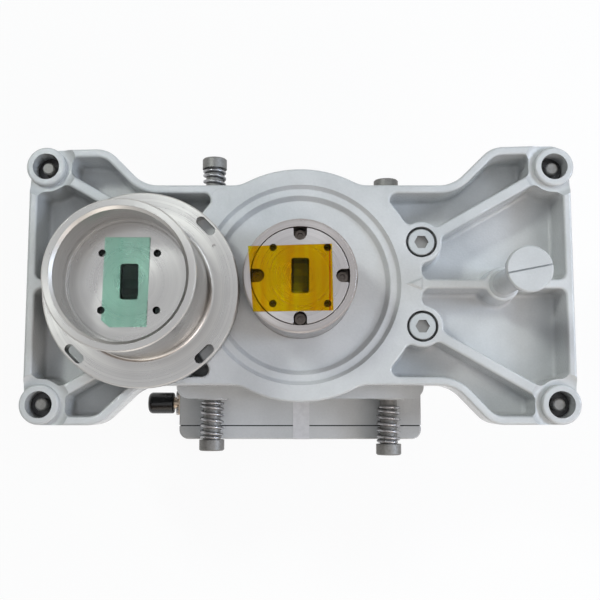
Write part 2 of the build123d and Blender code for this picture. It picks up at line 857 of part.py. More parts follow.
# Corner captive screws, their retaining washers and springs
washer_bottom = plate_front - corner_bore_depth + washer_gap
corner_head_face = plate_back - spring_length - 2 * loose_gap
corner_shank = washer_bottom - corner_head_face
corner_tip = plate_front - corner_tip_recess - washer_bottom - washer_thickness
for name, (sx, sy) in corner_names.items():
    head_point = (sx * corner_x, sy * corner_y, corner_head_face)
    with BuildPart() as corner_screw:
        captive_screw(corner_shank, washer_thickness, corner_tip, head_point, (0, 0, 1))
    corner_screw.part.label = f"corner_screw_{name}"
    export_step(corner_screw.part, f"parts/corner_screw_{name}.step")

    with BuildPart() as corner_washer:
        washer_point = (sx * corner_x, sy * corner_y, washer_bottom + 0.02)
        washer_height = washer_thickness - 0.04
        ring_about(neck_radius + 0.02, washer_radius, washer_height, washer_point, (0, 0, 1))
    corner_washer.part.label = f"corner_washer_{name}"
    export_step(corner_washer.part, f"parts/corner_washer_{name}.step")

    with BuildPart() as corner_spring:
        spring_point = (sx * corner_x, sy * corner_y, corner_head_face + loose_gap)
        coil_spring(spring_length, spring_point, (0, 0, 1))
    corner_spring.part.label = f"corner_spring_{name}"
    export_step(corner_spring.part, f"parts/corner_spring_{name}.step")

# Rear housing, open at its lower side
inner_half_x = housing_half_x - housing_wall
inner_low = housing_wall
inner_high = housing_depth - housing_wall
column_middle_x = inner_half_x - column_size / 2
column_levels = (inner_low + column_size / 2, inner_high - column_size / 2)
column_places = [(sx * column_middle_x, level) for sx in (-1, 1) for level in column_levels]
cover_screw_places = [
    (sx * (housing_half_x - cover_screw_inset), level)
    for sx in (-1, 1)
    for level in (cover_screw_inset, housing_depth - cover_screw_inset)
]
mouth_plane = Plane(origin=(0, housing_low_y, 0), x_dir=(1, 0, 0), z_dir=(0, -1, 0))
with BuildPart() as rear_housing:
    with BuildSketch() as housing_footprint:
        with Locations((0, (housing_low_y + housing_high_y) / 2)):
            Rectangle(2 * housing_half_x, housing_high_y - housing_low_y)
        fillet(housing_footprint.vertices().group_by(Axis.Y)[-1], housing_corner)
    extrude(housing_footprint.sketch, amount=housing_depth)
    with BuildSketch(mouth_plane) as cavity:
        with Locations((0, housing_depth / 2)):
            Rectangle(2 * inner_half_x, inner_high - inner_low)
    cavity_length = housing_high_y - housing_wall - housing_low_y
    extrude(cavity.sketch, amount=-cavity_length, mode=Mode.SUBTRACT)
    with BuildSketch(mouth_plane) as columns:
        with Locations(*column_places):
            Rectangle(column_size, column_size)
    extrude(columns.sketch, amount=-column_length)
    with BuildSketch(mouth_plane) as cover_taps:
        with Locations(*cover_screw_places):
            Circle(cover_screw_radius + thread_gap)
    extrude(cover_taps.sketch, amount=-cover_screw_length, mode=Mode.SUBTRACT)
    # Opening for the hybrid's neck
    with BuildSketch(Plane.XY.offset(housing_top)) as neck_hole:
        Rectangle(
            2 * (hybrid_neck_half_x + loose_gap),
            2 * (hybrid_neck_half_y + loose_gap),
        )
    extrude(neck_hole.sketch, amount=-housing_wall, mode=Mode.SUBTRACT)
    # Bores of the radio ports
    for side in (-1, 1):
        side_plane = Plane(
            origin=(side * housing_half_x, 0, radio_port_level),
            x_dir=(0, 1, 0),
            z_dir=(side, 0, 0),
        )
        with BuildSketch(side_plane) as radio_bore:
            Circle(hub_radius + fit_gap)
        extrude(radio_bore.sketch, amount=-housing_wall, mode=Mode.SUBTRACT)
    # Bore and tapped holes of the coaxial port
    coax_plane = Plane(
        origin=(-housing_half_x, coax_y, coax_level), x_dir=(0, 1, 0), z_dir=(-1, 0, 0)
    )
    with BuildSketch(coax_plane) as coax_bore:
        Circle(coax_bore_radius)
    coax_bore_depth = housing_wall + column_size
    extrude(coax_bore.sketch, amount=-coax_bore_depth, mode=Mode.SUBTRACT)
    with BuildSketch(coax_plane) as coax_taps:
        with GridLocations(coax_screw_pitch, coax_screw_pitch, 2, 2):
            Circle(coax_screw_radius + thread_gap)
    coax_tap_depth = coax_screw_length - coax_flange_thickness + loose_gap
    extrude(coax_taps.sketch, amount=-coax_tap_depth, mode=Mode.SUBTRACT)
    rim = rear_housing.faces().sort_by(Axis.Y)[-1].edges()
    fillet(rim, edge_break)
rear_housing.part.label = "rear_housing"
export_step(rear_housing.part, "parts/rear_housing.step")

# Gasket under the cover
with BuildPart() as cover_gasket:
    with BuildSketch(mouth_plane) as gasket_shape:
        with Locations((0, housing_depth / 2)):
            Rectangle(
                2 * (housing_half_x - gasket_inset),
                housing_depth - 2 * gasket_inset,
            )
            Rectangle(2 * inner_half_x, inner_high - inner_low, mode=Mode.SUBTRACT)
        with Locations(*column_places):
            Rectangle(column_size, column_size)
        with Locations(*cover_screw_places):
            Circle(cover_screw_radius + loose_gap, mode=Mode.SUBTRACT)
    extrude(gasket_shape.sketch, amount=gasket_thickness)
cover_gasket.part.label = "cover_gasket"
export_step(cover_gasket.part, "parts/cover_gasket.step")

# Cover over the housing's lower side, with a lip that enters the cavity
cover_inner_y = housing_low_y - gasket_thickness
cover_thickness = cover_inner_y - cover_low_y
cover_plane = Plane(origin=(0, cover_inner_y, 0), x_dir=(1, 0, 0), z_dir=(0, -1, 0))
outer_plane = Plane(origin=(0, cover_low_y, 0), x_dir=(1, 0, 0), z_dir=(0, -1, 0))
with BuildPart() as housing_cover:
    with BuildSketch(cover_plane) as cover_shape:
        with Locations((0, housing_depth / 2)):
            Rectangle(2 * housing_half_x, housing_depth)
    extrude(cover_shape.sketch, amount=cover_thickness)
    outer_face = housing_cover.faces().sort_by(Axis.Y)[0]
    fillet(outer_face.edges().filter_by(Axis.Z), housing_corner)
    long_edges = housing_cover.faces().sort_by(Axis.Y)[0].edges().filter_by(Axis.X)
    fillet(long_edges, cover_edge)
    with BuildSketch(cover_plane) as lip:
        with Locations((0, housing_depth / 2)):
            Rectangle(
                2 * (inner_half_x - loose_gap), inner_high - inner_low - 2 * loose_gap
            )
        column_cut = column_size + loose_gap
        with Locations(*column_places):
            Rectangle(column_cut + loose_gap, column_cut + loose_gap, mode=Mode.SUBTRACT)
        offset(amount=-cover_lip_wall, kind=Kind.INTERSECTION, mode=Mode.SUBTRACT)
    extrude(lip.sketch, amount=-(gasket_thickness + cover_lip))
    with BuildSketch(outer_plane) as screw_holes:
        with Locations(*cover_screw_places):
            Circle(cover_screw_radius + loose_gap)
    extrude(screw_holes.sketch, amount=-cover_thickness, mode=Mode.SUBTRACT)
    with BuildSketch(outer_plane) as screw_sinks:
        with Locations(*cover_screw_places):
            Circle(cover_screw_head_radius + loose_gap)
    extrude(screw_sinks.sketch, amount=-cover_screw_head_height, mode=Mode.SUBTRACT)
housing_cover.part.label = "housing_cover"
export_step(housing_cover.part, "parts/housing_cover.step")

# Screws of the cover, heads flush
with BuildPart() as cover_screws:
    for x, level in cover_screw_places:
        socket_screw(
            cover_screw_head_radius,
            cover_screw_head_height,
            cover_screw_radius,
            cover_screw_length,
            cover_screw_hex,
            cover_screw_hex_depth,
            (x, cover_low_y + cover_screw_head_height, level),
            (0, -1, 0),
        )
cover_screws.part.label = "cover_screws"
export_step(cover_screws.part, "parts/cover_screws.step")

# Blank sticker that bridges the seam and folds down over the cover's edge
with BuildPart() as seal_sticker:
    with BuildSketch(Plane.YZ.offset(sticker_x - sticker_width / 2)) as strip:
        with BuildLine():
            bend_y = cover_low_y + cover_edge
            bend_z = housing_top - cover_edge
            outer_bend = cover_edge + sticker_thickness
            Line((sticker_top_y, housing_top), (bend_y, housing_top))
            CenterArc((bend_y, bend_z), cover_edge, 90, 90)
            Line((cover_low_y, bend_z), (cover_low_y, housing_top - sticker_drop))
            Line(
                (cover_low_y, housing_top - sticker_drop),
                (cover_low_y - sticker_thickness, housing_top - sticker_drop),
            )
            Line(
                (cover_low_y - sticker_thickness, housing_top - sticker_drop),
                (cover_low_y - sticker_thickness, bend_z),
            )
            CenterArc((bend_y, bend_z), outer_bend, 180, -90)
            Line(
                (bend_y, housing_top + sticker_thickness),
                (sticker_top_y, housing_top + sticker_thickness),
            )
            Line((sticker_top_y, housing_top + sticker_thickness), (sticker_top_y, housing_top))
        make_face()
    extrude(strip.sketch, amount=sticker_width)
seal_sticker.part.label = "seal_sticker"
export_step(seal_sticker.part, "parts/seal_sticker.step")

# Radio ports: turned, flanged inside the housing, each with a seal ring
for name, side in (("left", -1), ("right", 1)):
    wall_point = (side * inner_half_x, 0, radio_port_level)
    reach = housing_wall + radio_port_reach
    groove_floor = hub_radius - 0.75 * seal_wire
    groove_start = reach - radio_groove_offset
    groove_end = groove_start + 1.3 * seal_wire
    with BuildPart() as radio_port:
        radio_outline = [
            (0, -radio_flange_height),
            (radio_flange_radius, -radio_flange_height),
            (radio_flange_radius, 0),
            (hub_radius, 0),
            (hub_radius, groove_start),
            (groove_floor, groove_start),
            (groove_floor, groove_end),
            (hub_radius, groove_end),
            (hub_radius, reach - hub_edge),
            (hub_radius - hub_edge, reach),
            (0, reach),
        ]
        turned(radio_outline, wall_point, (side, 0, 0), (0, 1, 0))
        end_plane = Plane(
            origin=(side * (inner_half_x + reach), 0, radio_port_level),
            x_dir=(0, 1, 0),
            z_dir=(side, 0, 0),
        )
        guide_slot(end_plane, reach + radio_flange_height, turned_slot=True)
        with BuildSketch(end_plane) as radio_taps:
            with GridLocations(flange_pitch_y, flange_pitch_x, 2, 2):
                Circle(flange_hole_radius)
        extrude(radio_taps.sketch, amount=-flange_hole_depth, mode=Mode.SUBTRACT)
    radio_port.part.label = f"radio_port_{name}"
    export_step(radio_port.part, f"parts/radio_port_{name}.step")

    with BuildPart() as radio_seal:
        seal_at = inner_half_x + (groove_start + groove_end) / 2
        ring_radius_mean = groove_floor + seal_wire / 2 + 0.02
        seal_point = (side * seal_at, 0, radio_port_level)
        seal_ring(ring_radius_mean, seal_wire, seal_point, (side, 0, 0), (0, 1, 0))
    radio_seal.part.label = f"radio_seal_{name}"
    export_step(radio_seal.part, f"parts/radio_seal_{name}.step")

# Waveguide run of the hybrid, drawn on the plane where the two halves meet
half_guide = guide_short / 2
second_guide = -(guide_short + guide_gap)
with BuildSketch(Plane.XZ) as channels:
    # First guide, from the antenna port down and out to the right
    first_top = housing_top + 1
    first_low = radio_port_level - half_guide
    with Locations((0, (first_top + first_low) / 2)):
        Rectangle(guide_short, first_top - first_low)
    with Locations(((hybrid_half_length - half_guide) / 2, radio_port_level)):
        Rectangle(hybrid_half_length + half_guide, guide_short)
    # Second guide, from the load arm down and out to the left
    with Locations((second_guide, (load_guide_level + radio_port_level) / 2)):
        Rectangle(guide_short, load_guide_level - radio_port_level + guide_short)
    second_right = second_guide + half_guide
    with Locations(((second_right - hybrid_half_length) / 2, radio_port_level)):
        Rectangle(hybrid_half_length + second_right, guide_short)
    with Locations(((second_right + load_guide_end) / 2, load_guide_level)):
        Rectangle(second_right - load_guide_end, guide_short)
    # Mitred outer corners
    for x, level, sx, sy in (
        (-half_guide, first_low, 1, 1),
        (second_right, first_low, -1, 1),
        (second_right, load_guide_level + half_guide, -1, -1),
    ):
        with BuildLine():
            Polyline((x, level), (x + sx * mitre, level), (x, level + sy * mitre), close=True)
        make_face(mode=Mode.SUBTRACT)
    # Branch guides between the two
    for step in range(branch_count):
        with Locations((second_right + guide_gap / 2, first_branch + step * branch_pitch)):
            Rectangle(guide_gap, branch_height)

for name, side in (("upper", 1), ("lower", -1)):
    with BuildPart() as hybrid_half:
        with BuildSketch(Plane.XZ) as block:
            with Locations((0, inner_low + hybrid_height / 2)):
                Rectangle(2 * hybrid_half_length, hybrid_height)
        extrude(block.sketch, amount=-side * hybrid_half_thickness)
        with BuildSketch(Plane.XZ) as neck:
            with Locations((0, (inner_low + hybrid_height + housing_top) / 2)):
                Rectangle(2 * hybrid_neck_half_x, housing_top - inner_low - hybrid_height)
        extrude(neck.sketch, amount=-side * hybrid_neck_half_y)
        extrude(channels.sketch, amount=-side * guide_long / 2, mode=Mode.SUBTRACT)
        with BuildSketch(Plane.XZ) as dowel_holes:
            with Locations(*dowel_places):
                Circle(dowel_radius + fit_gap)
        extrude(dowel_holes.sketch, amount=-side * dowel_length / 2, mode=Mode.SUBTRACT)
        with BuildSketch(Plane.XZ) as hybrid_holes:
            with Locations(*hybrid_screw_places):
                Circle(hybrid_screw_radius + thread_gap)
        hole_depth = hybrid_screw_length + hybrid_screw_head_height - hybrid_half_thickness + 1
        through = hole_depth if side > 0 else hybrid_half_thickness
        extrude(hybrid_holes.sketch, amount=-side * through, mode=Mode.SUBTRACT)
        if side < 0:
            outside = Plane(
                origin=(0, -hybrid_half_thickness, 0), x_dir=(1, 0, 0), z_dir=(0, -1, 0)
            )
            with BuildSketch(outside) as head_sinks:
                with Locations(*hybrid_screw_places):
                    Circle(hybrid_screw_head_radius + loose_gap)
            extrude(head_sinks.sketch, amount=-hybrid_screw_head_height, mode=Mode.SUBTRACT)
    hybrid_half.part.label = f"hybrid_half_{name}"
    export_step(hybrid_half.part, f"parts/hybrid_half_{name}.step")

# Dowels and clamp screws of the hybrid
with BuildPart() as hybrid_dowels:
    with BuildSketch(Plane.XZ) as dowel_circles:
        with Locations(*dowel_places):
            Circle(dowel_radius)
    extrude(dowel_circles.sketch, amount=dowel_length / 2 - loose_gap, both=True)
hybrid_dowels.part.label = "hybrid_dowels"
export_step(hybrid_dowels.part, "parts/hybrid_dowels.step")

with BuildPart() as hybrid_screws:
    for x, level in hybrid_screw_places:
        socket_screw(
            hybrid_screw_head_radius,
            hybrid_screw_head_height,
            hybrid_screw_radius,
            hybrid_screw_length,
            cover_screw_hex,
            cover_screw_hex_depth,
            (x, hybrid_screw_head_height - hybrid_half_thickness, level),
            (0, -1, 0),
        )
hybrid_screws.part.label = "hybrid_screws"
export_step(hybrid_screws.part, "parts/hybrid_screws.step")

# Absorbing wedge that ends the load arm
with BuildPart() as absorber_load:
    with BuildSketch(Plane.XZ) as wedge:
        with BuildLine():
            wedge_low = load_guide_level - half_guide
            wedge_high = load_guide_level + half_guide - fit_gap
            Polyline(
                (load_guide_end, wedge_low),
                (load_guide_end + absorber_length, wedge_low),
                (load_guide_end + absorber_butt, wedge_high),
                (load_guide_end, wedge_high),
                close=True,
            )
        make_face()
    extrude(wedge.sketch, amount=guide_long / 2 - fit_gap, both=True)
absorber_load.part.label = "absorber_load"
export_step(absorber_load.part, "parts/absorber_load.step")

# Coaxial test port on the housing's left side
coax_origin = (-housing_half_x, coax_y, coax_level)
coax_along = (-1, 0, 0)
coax_reach = coax_flange_thickness + coax_neck_length
with BuildPart() as coax_connector:
    with BuildSketch(coax_plane) as coax_square:
        RectangleRounded(coax_flange, coax_flange, edge_break)
    extrude(coax_square.sketch, amount=coax_flange_thickness)
    coax_outline = [
        (0, 0),
        (coax_neck_radius, 0),
        (coax_neck_radius, coax_reach - 0.4),
        (coax_neck_radius - 0.4, coax_reach),
        (0, coax_reach),
    ]
    turned(coax_outline, coax_origin, coax_along, (0, 1, 0))
    with BuildSketch(coax_plane) as coax_through:
        Circle(coax_bore_radius)
    extrude(coax_through.sketch, amount=coax_reach, mode=Mode.SUBTRACT)
    with BuildSketch(coax_plane) as coax_clearance:
        with GridLocations(coax_screw_pitch, coax_screw_pitch, 2, 2):
            Circle(coax_screw_radius + fit_gap)
    extrude(coax_clearance.sketch, amount=coax_flange_thickness, mode=Mode.SUBTRACT)
coax_connector.part.label = "coax_connector"
export_step(coax_connector.part, "parts/coax_connector.step")

with BuildPart() as coax_insulator:
    insulator_start = -coax_bore_depth
    insulator_end = coax_reach - 1
    ring_about(
        coax_pin_radius + 0.02,
        coax_bore_radius - 0.02,
        insulator_end - insulator_start,
        (coax_origin[0] + coax_bore_depth, coax_y, coax_level),
        coax_along,
        (0, 1, 0),
    )
coax_insulator.part.label = "coax_insulator"
export_step(coax_insulator.part, "parts/coax_insulator.step")

with BuildPart() as coax_pin:
    pin_outline = [
        (0, -coax_bore_depth - 4),
        (coax_pin_radius, -coax_bore_depth - 4),
        (coax_pin_radius, insulator_end + 0.5),
        (coax_pin_radius / 2, insulator_end + 0.9),
        (0, insulator_end + 0.9),
    ]
    turned(pin_outline, coax_origin, coax_along, (0, 1, 0))
coax_pin.part.label = "coax_pin"
export_step(coax_pin.part, "parts/coax_pin.step")

with BuildPart() as coax_screws:
    for sy in (-1, 1):
        for sz in (-1, 1):
            socket_screw(
                coax_screw_head_radius,
                coax_screw_head_height,
                coax_screw_radius,
                coax_screw_length,
                coax_screw_hex,
                coax_screw_hex_depth,
                (
                    -housing_half_x - coax_flange_thickness,
                    coax_y + sy * coax_screw_pitch / 2,
                    coax_level + sz * coax_screw_pitch / 2,
                ),
                coax_along,
                (0, 1, 0),
            )
coax_screws.part.label = "coax_screws"
export_step(coax_screws.part, "parts/coax_screws.step")

# Dust cap pushed over the connector's thread
with BuildPart() as dust_cap:
    cap_length = cap_end - cap_start
    cap_bore = coax_neck_radius + fit_gap
    cap_outline = [
        (cap_bore, 0),
        (cap_radius, 0),
        (cap_radius, cap_length),
        (0, cap_length),
        (0, cap_bore_depth),
        (cap_bore, cap_bore_depth),
    ]
    turned(cap_outline, (-cap_start, coax_y, coax_level), coax_along, (0, 1, 0))
    outer_rims = dust_cap.edges().filter_by(GeomType.CIRCLE).filter_by(
        lambda edge: abs(edge.radius - cap_radius) < 0.01
    )
    fillet(outer_rims.sort_by(Axis.X)[0], cap_edge)
    fillet(outer_rims.sort_by(Axis.X)[-1], cap_mouth_edge)
dust_cap.part.label = "dust_cap"
export_step(dust_cap.part, "parts/dust_cap.step")
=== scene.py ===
import json
import math
import bmesh
import bpy
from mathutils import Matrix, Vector, noise


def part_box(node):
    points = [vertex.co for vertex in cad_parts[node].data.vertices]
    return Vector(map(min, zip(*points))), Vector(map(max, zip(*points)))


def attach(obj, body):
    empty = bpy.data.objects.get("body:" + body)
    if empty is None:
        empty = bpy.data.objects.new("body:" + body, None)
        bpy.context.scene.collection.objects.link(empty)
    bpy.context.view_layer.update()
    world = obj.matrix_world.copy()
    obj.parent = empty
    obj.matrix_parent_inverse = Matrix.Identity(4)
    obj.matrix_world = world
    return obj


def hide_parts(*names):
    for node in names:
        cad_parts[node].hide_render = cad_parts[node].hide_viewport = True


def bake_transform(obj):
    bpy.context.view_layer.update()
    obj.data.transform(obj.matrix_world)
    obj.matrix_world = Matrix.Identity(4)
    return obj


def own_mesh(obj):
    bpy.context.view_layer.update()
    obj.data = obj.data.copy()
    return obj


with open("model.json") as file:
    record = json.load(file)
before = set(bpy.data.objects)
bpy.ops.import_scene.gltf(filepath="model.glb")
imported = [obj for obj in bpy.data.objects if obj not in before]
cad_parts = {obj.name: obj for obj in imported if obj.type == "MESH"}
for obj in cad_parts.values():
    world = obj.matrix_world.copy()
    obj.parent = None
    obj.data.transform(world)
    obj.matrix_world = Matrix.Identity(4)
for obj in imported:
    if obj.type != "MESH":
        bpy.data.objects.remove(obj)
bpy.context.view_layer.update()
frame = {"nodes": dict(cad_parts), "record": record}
nodes = frame["nodes"]

MM = 0.001
CORNERS = ("lower_left", "lower_right", "upper_left", "upper_right")

# Points on the axes of the turned parts, in millimetres
HUB_AXIS = (0, 0, 0)
CUP_AXIS = (-75, -3.6, 0)
RADIO_AXIS = (0, 0, 35)
COAX_AXIS = (0, -57, 56)

# The crease in the amber film runs along Y at this X, in millimetres
CREASE_X = 13.2
CREASE_HALF_WIDTH = 0.35

# Camera: above the plate, leaning 6.4 degrees, as the photograph was taken
FOCAL_PIXELS = 878
FRAME_PIXELS = 600
CAMERA_TILT = math.radians(6.37)
CAMERA_PLACE = Vector((-0.1, -54.3, 542.3)) * MM

camera_data = bpy.data.cameras.new("camera")
camera_data.sensor_width = 36
camera_data.lens = FOCAL_PIXELS / FRAME_PIXELS * camera_data.sensor_width
camera_data.clip_start = 0.01
camera = bpy.data.objects.new("camera", camera_data)
camera.location = CAMERA_PLACE
camera.rotation_euler = (CAMERA_TILT, 0, 0)
bpy.context.scene.collection.objects.link(camera)
bpy.context.scene.camera = camera


# Node trees
def add(tree, kind, inputs=None, **settings):
    """A shader node with its settings and inputs; an input that is a socket is linked."""
    node = tree.nodes.new("ShaderNode" + kind)
    for key, value in settings.items():
        setattr(node, key, value)
    for key, value in (inputs or {}).items():
        if isinstance(value, bpy.types.NodeSocket):
            tree.links.new(value, node.inputs[key])
        else:
            node.inputs[key].default_value = value
    return node


def calc(tree, operation, a, b=0.0):
    """One arithmetic step on two values or sockets."""
    return add(tree, "Math", {0: a, 1: b}, operation=operation).outputs[0]


def spread(tree, value, low, high, start=0.0, end=1.0):
    """Value taken from the range low..high to start..end."""
    inputs = {"Value": value, "From Min": low, "From Max": high, "To Min": start, "To Max": end}
    return add(tree, "MapRange", inputs).outputs[0]


def blotches(tree, where, scale, detail, roughness=0.5):
    """Noise between 0 and 1 with features of about 1/scale metres."""
    inputs = {"Vector": where, "Scale": scale, "Detail": detail, "Roughness": roughness}
    return add(tree, "TexNoise", inputs).outputs["Fac"]


def tint(tree, amount, dark, light):
    """A colour between two, by a factor."""
    inputs = {0: amount, 6: (*dark, 1), 7: (*light, 1)}
    return add(tree, "Mix", inputs, data_type="RGBA").outputs[2]


def mottled(tree, amount, dark, light):
    """A colour between two, by noise with its middle part spread out."""
    return tint(tree, spread(tree, amount, 0.35, 0.65), dark, light)


def below(tree, where, level):
    """1 under a height in metres, else 0."""
    height = add(tree, "SeparateXYZ", {0: where}).outputs["Z"]
    return calc(tree, "LESS_THAN", height, level)


def swapped(tree, mask, colour, other):
    """A colour, with another one where the mask is 1."""
    inputs = {0: mask, 6: colour, 7: (*other, 1)}
    return add(tree, "Mix", inputs, data_type="RGBA").outputs[2]


def bump(tree, height, strength, depth, normal=None):
    """Bump of a given depth in metres."""
    inputs = {"Height": height, "Strength": strength, "Distance": depth}
    if normal is not None:
        inputs["Normal"] = normal
    return add(tree, "Bump", inputs).outputs[0]


def rounded(tree, radius):
    """Normals that look rounded at sharp edges, with a radius in metres."""
    return add(tree, "Bevel", {"Radius": radius}, samples=4).outputs[0]


def new_material(name):
    """A material with an empty tree, that tree and its object coordinates."""
    made = bpy.data.materials.new(name)
    made.use_nodes = True
    tree = made.node_tree
    tree.nodes.clear()
    where = add(tree, "TexCoord").outputs["Object"]
    return made, tree, where


def finish_material(made, tree, **inputs):
    """The material with a Principled shader of those inputs as its output."""
    named = {key.replace("_", " "): value for key, value in inputs.items()}
    shader = add(tree, "BsdfPrincipled", named)
    add(tree, "OutputMaterial", {0: shader.outputs[0]})
    return made


# Texture scales, in features per metre
CASTING_WAVES = 45
ORANGE_PEEL = 900
PAINT_PITS = 2600
TURNED_LINES = 4200
TURNED_BANDS = 300
SMUDGES = 60
STEEL_CLOUDS = 700
STEEL_GRAIN = 3500
FILM_RIPPLES = 120
FILM_STREAKS = 260

# A film's streaks are drawn out along Y by shrinking that coordinate
STREAK_SHRINK = (1.0, 0.06, 1.0)

# Depths of bumps, and radii of edges that look rounded
WAVE_DEPTH = 0.6 * MM
PEEL_DEPTH = 0.12 * MM
PIT_DEPTH = 0.03 * MM
COAT_DEPTH = 0.4 * MM
TURNED_DEPTH = 0.004 * MM
STEEL_DEPTH = 0.02 * MM
MOULDED_DEPTH = 0.04 * MM
FILM_DEPTH = 0.2 * MM
TURNED_EDGE = 0.25 * MM
STEEL_EDGE = 0.2 * MM

# Colours that show in small areas of a material
# Bare socket steel, which also serves as painted shade on the screw heads' sides down in the counterbores
SOCKET_STEEL_AND_SHADE = (0.30, 0.30, 0.29)
# Painted shade in the disc's holes
HOLE_SHADE = (0.10, 0.09, 0.08)
CREASE_AMBER = (0.90, 0.38, 0.01)


def painted(name, dark, light, rough, grain, bare_and_shade_under=None):
    """Painted metal with a clear coat: orange peel over slow waves, and bare steel under a height, which on
    the clamp screws is also painted shade on the heads' sides in their counterbores.
    """
    made, tree, where = new_material(name)
    slow = blotches(tree, where, CASTING_WAVES, 4)
    peel = blotches(tree, where, ORANGE_PEEL, 2, 0.6)
    pits = blotches(tree, where, PAINT_PITS, 1)
    unevenness = calc(tree, "ADD", calc(tree, "MULTIPLY", slow, 0.75), calc(tree, "MULTIPLY", peel, 0.25))
    colour = mottled(tree, unevenness, dark, light)
    gloss = spread(tree, peel, 0.3, 0.7, rough - 0.07, rough + 0.1)
    normal = bump(tree, slow, 0.25, WAVE_DEPTH)
    normal = bump(tree, peel, 0.35 * grain, PEEL_DEPTH, normal)
    normal = bump(tree, pits, 0.35 * grain, PIT_DEPTH, normal)
    skin = bump(tree, peel, 0.8 * grain, COAT_DEPTH)
    bare_and_shade = 0.0
    # Under the given height the colour turns to bare socket steel: real in the sockets, painted shade on
    # the heads' sides in the counterbores
    if bare_and_shade_under is not None:
        bare_and_shade = below(tree, where, bare_and_shade_under)
        colour = swapped(tree, bare_and_shade, colour, SOCKET_STEEL_AND_SHADE)
    return finish_material(
        made,
        tree,
        Base_Color=colour,
        Roughness=gloss,
        Metallic=bare_and_shade,
        Normal=normal,
        Coat_Weight=0.8,
        Coat_Roughness=0.10,
        Coat_Normal=skin,
    )


def turned(name, centre, axis, dark, light, rough, shaded_under=None):
    """Turned metal: irregular rings about an axis, and painted shade in holes under a height."""
    made, tree, where = new_material(name)
    middle = tuple(value * MM for value in centre)
    moved = add(tree, "VectorMath", {0: where, 1: middle}, operation="SUBTRACT")
    parts = add(tree, "SeparateXYZ", {0: moved.outputs[0]}).outputs
    across = [part for key, part in zip("XYZ", parts) if key != axis]
    squares = [calc(tree, "MULTIPLY", part, part) for part in across]
    radius = calc(tree, "SQRT", calc(tree, "ADD", *squares))
    along = parts["XYZ".index(axis)]
    ring_place = add(tree, "CombineXYZ", {0: radius, 1: along, 2: 0.0}).outputs[0]
    rings = blotches(tree, ring_place, TURNED_LINES, 1)
    bands = blotches(tree, ring_place, TURNED_BANDS, 2)
    smudge = blotches(tree, where, SMUDGES, 4, 0.6)
    mixed = calc(tree, "ADD", calc(tree, "MULTIPLY", rings, 0.5), calc(tree, "MULTIPLY", bands, 0.5))
    colour = mottled(tree, mixed, dark, light)
    if shaded_under is not None:
        # Under the given height the colour turns to a near-black painted shade in the holes
        colour = swapped(tree, below(tree, where, shaded_under), colour, HOLE_SHADE)
    gloss = spread(tree, calc(tree, "ADD", mixed, smudge), 0.7, 1.3, rough - 0.07, rough + 0.08)
    normal = bump(tree, rings, 0.5, TURNED_DEPTH, rounded(tree, TURNED_EDGE))
    grooves = add(tree, "Tangent", direction_type="RADIAL", axis=axis).outputs[0]
    return finish_material(
        made,
        tree,
        Base_Color=colour,
        Roughness=gloss,
        Metallic=1.0,
        Normal=normal,
        Anisotropic=0.6,
        Tangent=grooves,
    )


def plain_metal(name, dark, light, rough, metal=1.0):
    """Bare or coated steel with faint handling marks."""
    made, tree, where = new_material(name)
    cloud = blotches(tree, where, STEEL_CLOUDS, 3, 0.6)
    fine = blotches(tree, where, STEEL_GRAIN, 1)
    colour = mottled(tree, cloud, dark, light)
    gloss = spread(tree, cloud, 0.3, 0.7, rough - 0.08, rough + 0.1)
    normal = bump(tree, fine, 0.3, STEEL_DEPTH, rounded(tree, STEEL_EDGE))
    return finish_material(made, tree, Base_Color=colour, Roughness=gloss, Metallic=metal, Normal=normal)


def soft_plastic(name, dark, light, rough, grain=1500):
    """Moulded plastic, rubber or paper with a fine texture."""
    made, tree, where = new_material(name)
    fine = blotches(tree, where, grain, 2)
    colour = mottled(tree, fine, dark, light)
    gloss = spread(tree, fine, 0.3, 0.7, rough - 0.06, rough + 0.08)
    normal = bump(tree, fine, 0.3, MOULDED_DEPTH)
    return finish_material(made, tree, Base_Color=colour, Roughness=gloss, Normal=normal)


def film(name, dark, light, rough, crease=None):
    """Clear tinted film with faint ripples and streaks, and a deeper colour along a crease."""
    made, tree, where = new_material(name)
    ripple = blotches(tree, where, FILM_RIPPLES, 2)
    drawn = add(tree, "VectorMath", {0: where, 1: STREAK_SHRINK}, operation="MULTIPLY")
    streaks = blotches(tree, drawn.outputs[0], FILM_STREAKS, 2)
    colour = mottled(tree, streaks, dark, light)
    if crease is not None:
        across = add(tree, "SeparateXYZ", {0: where}).outputs["X"]
        away = calc(tree, "ABSOLUTE", calc(tree, "SUBTRACT", across, crease * MM))
        line = calc(tree, "LESS_THAN", away, CREASE_HALF_WIDTH * MM)
        colour = swapped(tree, line, colour, CREASE_AMBER)
    normal = bump(tree, ripple, 0.3, FILM_DEPTH)
    return finish_material(
        made, tree, Base_Color=colour, Roughness=rough, Transmission_Weight=1.0, IOR=1.15, Normal=normal
    )


# Heights under which the disc's holes get painted shade, and the clamp screws show bare steel that also
# paints shade on their heads' sides in the counterbores
DISC_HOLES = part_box("port_disc")[1].z - 0.4 * MM
CLAMP_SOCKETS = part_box("clamp_screws")[1].z - 0.25 * MM

